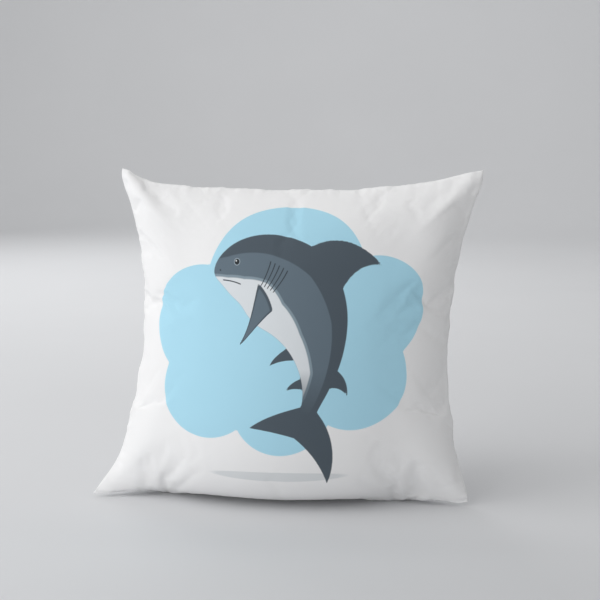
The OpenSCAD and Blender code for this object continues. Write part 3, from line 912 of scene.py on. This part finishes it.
def seam_strip(line, inward, first, last, thick):
    """A flat two-ply strip inside a seam, from first to last millimetres in from the seam."""
    across = np.linspace(first, last, 5) * MM
    face = (line[None] + across[:, None, None] * inward[None]).reshape(-1, 3)
    half = thick * MM / 2 * PLANE
    idx = np.arange(len(face)).reshape(5, -1)
    return np.concatenate([face + half, face - half]), closed_faces(quads(idx, False), len(face)).tolist()


def overlock(line, inward, last, thick, step=2.2):
    """Thread that loops over the free edge of a strip that ends last millimetres in from the seam."""
    run = arc_length(line) / MM
    at = np.arange(step, run[-1] - step, step)
    # one loop: share of a step along, millimetres in, and up in half thicknesses
    along, d, h = np.array([(0.0, last - 3.4, 1.0), (0.3, last - 1.5, 1.12), (0.45, last + 0.2, 0.6),
                            (0.55, last + 0.2, -0.6), (0.7, last - 1.5, -1.12), (1.0, last - 3.4, -1.0),
                            (1.0, last - 3.4, 1.0)]).T
    s = (at[:, None] + step * along[None]).ravel()
    d, h = np.tile(d, len(at)) * MM, np.tile(h, len(at)) * (thick / 2 + 0.12) * MM
    way = along_line(inward, run, s)
    path = along_line(line, run, s) + way * d[:, None] + PLANE * h[:, None]
    return sweep(path, circle(0.14 * MM, 5), np.cross(PLANE, way))


def inner_line(points):
    """Directions in from a seam, in the plane of the seams."""
    inward = unit(np.cross(np.gradient(points, axis=0), PLANE))
    return inward * np.sign(((CENTRE - points) * inward).sum(1))[:, None]


def span(points, low, high):
    """Part of a line, evenly resampled and eased."""
    return eased(resampled(points, 70, low, high), 6)


ALLOWANCE = 9.0
plies, threads = [], []
for points, low, high in ((FRONT_P[:, 0], 0.16, 0.86), (FRONT_P[:, -1], 0.16, 0.86),
                          (FRONT_P[-1], 0.18, 0.82), (FRONT_P[0], 0.16, 0.84)):
    line = span(points, low, high)
    plies.append(seam_strip(line, inner_line(line), 2.2, ALLOWANCE, 1.4))
    threads.append(overlock(line, inner_line(line), ALLOWANCE, 1.4))
seam_allowances = mesh_object("seam_allowances", *gather(plies), "overlocked_seams")
overlock_thread = mesh_object("overlock_thread", *gather(threads))

# the blank tag: one folded satin strip, its ends caught in the left seam
left_line = span(FRONT_P[:, 0], 0.46, 0.53)
TAG_AT = len(left_line) // 2
left_in = inner_line(left_line)[TAG_AT]
up_seam = np.cross(PLANE, left_in)
up_seam *= np.sign(up_seam[2])
# the fold, in millimetres in from the seam and across its plane
fold = np.array([(5.0, 1.02), (7.4, 1.03), (9.8, 1.02), (10.9, 1.06), (11.15, 1.17), (10.9, 1.28),
                 (9.8, 1.32), (7.4, 1.31), (5.0, 1.32)])
heights = np.linspace(-15, 15, 31)
tag_line = left_line[TAG_AT] + (fold[:, :1] * left_in + fold[:, 1:] * PLANE) * MM
tag_out = tag_line[:, None] + heights[None, :, None] * up_seam * MM
fold_way = unit(np.gradient(fold, axis=0))
tag_n = fold_way[:, :1] * PLANE - fold_way[:, 1:] * left_in
tag_uv = np.stack(np.meshgrid(heights * MM, np.arange(len(fold)) * 1.5 * MM), -1)
care_tag = shell("satin_tag", "care_tag", tag_out, tag_out + tag_n[:, None] * 0.10 * MM, tag_uv)


def sample(grid, row, col):
    """Bilinear samples of a coarse grid at fractional rows and columns."""
    r0 = np.clip(row.astype(int), 0, grid.shape[0] - 2)
    c0 = np.clip(col.astype(int), 0, grid.shape[1] - 2)
    fr, fc = (row - r0)[..., None], (col - c0)[..., None]
    return mix(mix(grid[r0, c0], grid[r0, c0 + 1], fc), mix(grid[r0 + 1, c0], grid[r0 + 1, c0 + 1], fc), fr)


# the insert follows the cover, eased, and stops short of its seams
INSERT_SHORT, INSERT_SIDE = 0.018, 0.430
PLY, FILL_IN = 0.0008, 0.0013      # the insert cloth's thickness, and where the filling starts
N_INSERT = 81
iv, iu = np.meshgrid(*[np.linspace(-1, 1, N_INSERT)] * 2, indexing="ij")
share = 1 - 2 * INSERT_SHORT / 0.440
want_t = 0.5 + iv * share / 2
at_rows, at_cols = np.interp(want_t, T, np.arange(NV)), np.interp(iu * share, TAU, np.arange(NU))
calm = relaxed(P, rounds=6)
front_s, back_s = (sample(calm[idx], at_rows, at_cols) for idx in (F_IDX, B_IDX))
edge_mm = (1 - np.maximum(np.abs(iu), np.abs(iv))) * 210
edge_share = (np.clip(1 - edge_mm / 46, 0, 1) ** 2)[..., None]
zip_near = smooth((0.055 - np.abs(want_t - TV_ZIP) * ROW_RUN[-1]) / 0.03)


def insert_side(points, side):
    """One side of the insert, puckered where its edge is sewn and deeper behind the zip."""
    depth = 2.6 if side == FRONT else mix(3.2, 6.4, zip_near)
    puck = 0.5 * np.sin(iu * 60 + 1.3 * side) * np.sin(iv * 57 + side) * np.exp(-edge_mm / 14)
    moved = points + outward(points, side) * ((puck - depth) * MM)[..., None]
    out = mix(moved, (front_s + back_s) / 2, edge_share)
    out[..., 2] = np.maximum(out[..., 2], 1.6 * MM)
    return out


ins_front, ins_back = insert_side(front_s, FRONT), insert_side(back_s, BACK)
ins_uv = np.stack([iu, iv + 1], -1) * INSERT_SIDE / 2
inserts, core = [], []
for name, this, other, side in (("insert_front", ins_front, ins_back, FRONT),
                                ("insert_back", ins_back, ins_front, BACK)):
    ob = shell(name, name + "_panel", this, inner_side(this, other, side, PLY), ins_uv, flip=side == BACK)
    inserts.append(ob)
    core.append(inner_side(this, other, side, FILL_IN))

# the filling: lumpy, and both sides share one border
lumps = sum(np.sin(a * iu + b * iv + c)
            for a, b, c in ((23, 9, 0.4), (-11, 26, 1.9), (31, 19, 4.0), (7, -33, 2.6)))
sink = ((lumps + 4) * 0.10 * MM * np.clip(edge_mm / 20, 0, 1))[..., None]
core = [grid - outward(grid, side) * sink for grid, side in zip(core, (FRONT, BACK))]
front_idx = np.arange(N_INSERT ** 2).reshape(N_INSERT, N_INSERT)
back_idx = front_idx.copy()
back_idx[1:-1, 1:-1] += N_INSERT ** 2
core_faces = np.concatenate([quads(front_idx, False), quads(back_idx, True)])
used, core_faces = np.unique(core_faces, return_inverse=True)
core_verts = np.concatenate([grid.reshape(-1, 3) for grid in core])[used]
filling = mesh_object("filling", core_verts, core_faces.reshape(-1, 4), "fibre_fill", smooth_angle=0)

# the overcast edge that closes the insert
close_line = span(ins_front[:, -1], 0.3, 0.7)
close_out = -inner_line(close_line)
closing = [seam_strip(close_line, close_out, 0.4, 3.9, 0.8), overlock(close_line, close_out, 3.9, 0.8, 3.0)]
closing_edge = mesh_object("closing_edge", *gather(closing), "insert_closing_seam")


# ---- materials ----
def linear(colour):
    """A Blender colour from a hexadecimal sRGB one."""
    parts = [int(colour[k:k + 2], 16) / 255 for k in (0, 2, 4)]
    return tuple(c / 12.92 if c <= 0.04045 else ((c + 0.055) / 1.055) ** 2.4 for c in parts) + (1.0,)


class Nodes:
    """Short ways to add and link shader nodes. A colour may be given as six hexadecimal digits."""

    def __init__(self, name, roughness, **direct):
        self.mat = bpy.data.materials.new(name)
        self.mat.use_nodes = True
        self.tree = self.mat.node_tree
        self.shader = self.tree.nodes["Principled BSDF"]
        for key, value in {"Roughness": roughness, **direct}.items():
            self.shader.inputs[key.replace("_", " ")].default_value = value

    def add(self, kind, inputs, **settings):
        node = self.tree.nodes.new("ShaderNode" + kind)
        for key, value in settings.items():
            setattr(node, key, value)
        for key, value in inputs.items():
            self.put(node.inputs[key], value)
        return node

    def put(self, socket, value):
        if isinstance(value, bpy.types.NodeSocket):
            self.tree.links.new(value, socket)
        else:
            socket.default_value = linear(value) if isinstance(value, str) else value

    def math(self, operation, a, b=0.0):
        return self.add("Math", {0: a, 1: b, 2: 0.0}, operation=operation).outputs[0]

    def arithmetic(self):
        return (partial(self.math, kind) for kind in ("ADD", "SUBTRACT", "MULTIPLY", "ABSOLUTE"))

    def mix(self, share, a, b):
        return self.add("Mix", {0: share, 6: a, 7: b}, data_type="RGBA").outputs[2]

    def ramp(self, value, low, high, out_low=0.0, out_high=1.0):
        return self.add("MapRange", {0: value, 1: low, 2: high, 3: out_low, 4: out_high}).outputs[0]

    def value(self, name):
        return self.add("Attribute", {}, attribute_name=name).outputs["Fac"]

    def uv(self, name):
        return self.add("UVMap", {}, uv_map=name).outputs[0]

    def split(self, vector):
        return self.add("SeparateXYZ", {0: vector}).outputs[:2]

    def noise(self, vector, scale, detail=3.0):
        return self.add("TexNoise", {"Vector": vector, "Scale": scale, "Detail": detail,
                                     "Roughness": 0.5}).outputs["Fac"]

    def place(self):
        return self.add("TexCoord", {}).outputs["Object"]

    def weave(self, vector, pitch):
        """Height of a plain weave: warp and weft threads that pass over each other by turns."""
        add, less, times, size = self.arithmetic()
        u, v = (times(c, math.pi / pitch) for c in self.split(vector))
        warp, weft = (size(self.math("SINE", c)) for c in (u, v))
        over = times(*(self.math("SINE", add(c, math.pi / 2)) for c in (u, v)))
        share = self.ramp(over, -0.25, 0.25)
        return add(times(warp, share), times(weft, less(1.0, share)))

    def bump(self, height, distance, strength=1.0):
        node = self.add("Bump", {"Height": height, "Distance": distance, "Strength": strength})
        self.put(self.shader.inputs["Normal"], node.outputs[0])

    def colour(self, value):
        self.put(self.shader.inputs["Base Color"], value)


PALE_BLUE, PALE_GREY, SLATE, DARK_SLATE, INK = "AEDEF1", "DDE0E2", "61717D", "4A5660", "39434B"
# eye and nostril, from the outside in: along the shark's axis, up from it, radius, colour
SPOTS = [(30.0, 6.0, 3.6, "9FACB5"), (30.0, 6.0, 2.9, "20262B"), (29.1, 7.0, 0.8, "E6EAEC"),
         (8.5, 1.2, 1.0, INK)]


def shark_skin(m):
    """The shark's colours, from distances in mm that the front panel carries."""
    add, less, times, size = m.arithmetic()
    belly = m.value("belly")
    s, r = (times(c, 100.0) for c in m.split(m.uv("body")))
    skin = m.mix(m.ramp(belly, -0.5, 0.5), "DDE2E6", "8697A2")
    skin = m.mix(m.ramp(belly, 2.2, 3.2), skin, SLATE)
    for where in ((m.value("ridge"), 0.5, -0.5), (m.value("torso"), -0.3, 0.3), (s, 205.0, 258.0)):
        skin = m.mix(m.ramp(*where), skin, DARK_SLATE)
    # five gill slits, a mouth, an eye and a nostril
    turn = add(times(less(s, 66.0), 1 / 5.2), times(times(r, r), 0.0012))
    slit = size(less(m.math("FRACT", turn), 0.5))
    within = times(m.math("GREATER_THAN", turn, 0.0), m.math("LESS_THAN", turn, 5.0))
    within = times(within, m.ramp(size(add(r, 1.0)), 13.0, 12.0))
    skin = m.mix(times(within, m.ramp(slit, 0.16, 0.09)), skin, "343D45")
    jaw = size(add(times(s, 0.27), add(r, 6.5)))
    mouth = times(m.ramp(jaw, 0.8, 0.45), m.ramp(size(less(s, 22.0)), 13.5, 12.5))
    skin = m.mix(mouth, skin, INK)
    for at_s, at_r, radius, tint in SPOTS:
        along, away = less(s, at_s), less(r, at_r)
        off = m.math("SQRT", add(times(along, along), times(away, away)))
        skin = m.mix(m.ramp(off, radius + 0.2, radius - 0.2), skin, tint)
    return skin


def cover_cloth(name, printed):
    m = Nodes(name, 0.88, Sheen_Weight=0.25, Sheen_Roughness=0.5)
    add, uv = partial(m.math, "ADD"), m.uv("cloth")
    slub = m.noise(m.add("Mapping", {0: uv, 3: (0.35, 1.0, 1.0)}).outputs[0], 900, 2.0)
    blotch = m.ramp(m.noise(uv, 9, 2.0), 0.3, 0.7, -0.006, 0.006)
    tone = add(m.ramp(slub, 0.3, 0.7, -0.012, 0.012), blotch)
    base = m.mix(add(tone, 0.5), "EEEEEF", "F8F8F8")
    if printed:
        fin_edge = m.value("pectoral")
        for edge, soft, colour in ((m.value("cloud"), 0.35, PALE_BLUE), (m.value("shadow"), 0.35, PALE_GREY),
                                   (m.value("shark"), 0.35, shark_skin(m)), (fin_edge, 0.35, DARK_SLATE),
                                   (add(fin_edge, 3.0), 0.5, SLATE)):
            base = m.mix(m.ramp(edge, soft, -soft), base, colour)
    m.colour(base)
    m.bump(add(m.weave(uv, 0.00055), m.ramp(slub, 0.2, 0.8, 0.0, 0.8)), 0.00012, 0.55)
    return m.mat


def woven(name, tint, pitch, distance, sheen=0.3, roughness=0.8):
    """Woven trim, such as tape or satin, with its weave on the piece's own UV."""
    m = Nodes(name, roughness, Sheen_Weight=sheen)
    uv = m.uv("cloth")
    m.colour(m.mix(m.noise(uv, 1500, 2.0), *tint))
    m.bump(m.weave(uv, pitch), distance)
    return m.mat


def grained(name, tint, scale, distance, roughness, detail=3.0, **direct):
    """A finish with a fine grain in the piece's own space."""
    m = Nodes(name, roughness, **direct)
    place = m.place()
    fine = m.noise(place, scale, detail)
    m.colour(m.mix(m.ramp(m.noise(place, scale * 0.12), 0.3, 0.7), *tint))
    m.put(m.shader.inputs["Roughness"], m.ramp(fine, 0.3, 0.7, roughness - 0.06, roughness + 0.06))
    m.bump(fine, distance)
    return m.mat


FINISHES = (
    ("cover_cloth", [cover_front], cover_cloth("printed_cover_cloth", True)),
    ("cover_cloth", [cover_back_upper, cover_back_lower], cover_cloth("plain_cover_cloth", False)),
    ("zip_tape", tapes, woven("zip_tape_weave", ("E6E6E3", "EFEFEC"), 0.0006, 0.00015)),
    ("satin", [care_tag], woven("tag_satin", ("F3F3F1", "FAFAF8"), 0.00022, 0.00003, 0.6, 0.35)),
    ("insert_cloth", inserts, woven("insert_nonwoven", ("F0F0EF", "F8F8F7"), 0.0016, 0.00012, 0.2, 0.9)),
    ("fibre", [filling],
     grained("polyester_fibre", ("F4F4F3", "FFFFFF"), 260, 0.0012, 0.95, 6.0, Sheen_Weight=0.5)),
    ("thread", [top_stitches, tacks, chain_stitches, overlock_thread, closing_edge],
     grained("sewing_thread", ("EDEDEB", "F6F6F4"), 5200, 0.00006, 0.62, Sheen_Weight=0.35)),
    ("thread", [seam_allowances],
     grained("allowance_cloth", ("EAEAEA", "F4F4F4"), 2600, 0.0001, 0.88, Sheen_Weight=0.3)),
    ("nylon", coils, grained("coil_nylon", ("EBEBE8", "F5F5F2"), 900, 0.00002, 0.38, Subsurface_Weight=0.15,
                             Subsurface_Scale=0.0006)),
    ("zip_metal", [zip_slider, zip_pull, top_stops, bottom_stop],
     grained("satin_metal", ("C6C8CA", "D4D6D7"), 1400, 0.00002, 0.34, Metallic=0.85)),
)
for slot, obs, material in FINISHES:
    for ob in obs:
        ob.data.materials.clear()
        ob.data.materials.append(material)


# ---- camera, lights and floor ----
def aim(ob, at, target):
    ob.location = at
    ob.rotation_euler = (Vector(target) - Vector(at)).to_track_quat("-Z", "Y").to_euler()


def add_light(name, at, size, power, target=(0, 0, 0.19)):
    data = bpy.data.lights.new(name, "AREA")
    data.shape, data.size, data.energy = "SQUARE", size, power
    aim(new_object(name, data), at, target)


TURN, LIFT, REACH, AIM_Z = math.radians(6.17), math.radians(11), 1.6, 0.19
camera = new_object("camera", bpy.data.cameras.new("camera"))
aim(camera, (REACH * math.sin(TURN) * math.cos(LIFT), -REACH * math.cos(TURN) * math.cos(LIFT),
             AIM_Z + REACH * math.sin(LIFT)), (0, 0, AIM_Z))
camera.data.lens = 81.9
camera.data.shift_x, camera.data.shift_y = 0.0179, 0.0616
camera.data.clip_end = 50
bpy.context.scene.camera = camera
bpy.context.scene.view_settings.view_transform = "Standard"
add_light("key", (-2.25, -1.1, 1.05), 1.6, 22)
add_light("fill", (-1.0, -2.6, 0.65), 1.0, 11)
add_light("back_fill", (-1.1, 1.9, 1.3), 1.2, 10)
add_light("top", (-1.1, -0.45, 2.3), 1.8, 15)
add_light("wall_wash", (0, 1.4, 2.6), 2.0, 22, target=(0, 3.8, 0.5))
world = bpy.data.worlds.new("studio")
bpy.context.scene.world = world
world.use_nodes = True
sky = world.node_tree.nodes["Background"].inputs
sky[0].default_value, sky[1].default_value = (1, 1, 1, 1), 0.44

# floor that sweeps up into a wall behind
FLOOR_Z, SWEEP_Y, SWEEP_R = -0.0002, 2.6, 1.2
sweep_line = [(-5.0, FLOOR_Z), (SWEEP_Y, FLOOR_Z)]
sweep_line += [(SWEEP_Y + SWEEP_R * sin_d(a), FLOOR_Z + SWEEP_R * (1 - cos_d(a))) for a in range(6, 91, 6)]
sweep_line += [(SWEEP_Y + SWEEP_R, 4.5)]
floor = new_mesh("floor", [(x, y, z) for y, z in sweep_line for x in (-6, 6)],
                 [(2 * k, 2 * k + 1, 2 * k + 3, 2 * k + 2) for k in range(len(sweep_line) - 1)])
paper = Nodes("floor_paper", 0.9)
paper.colour(paper.mix(paper.noise(paper.place(), 3.0), "D2D3D5", "D6D7D9"))
floor.data.materials.append(paper.mat)
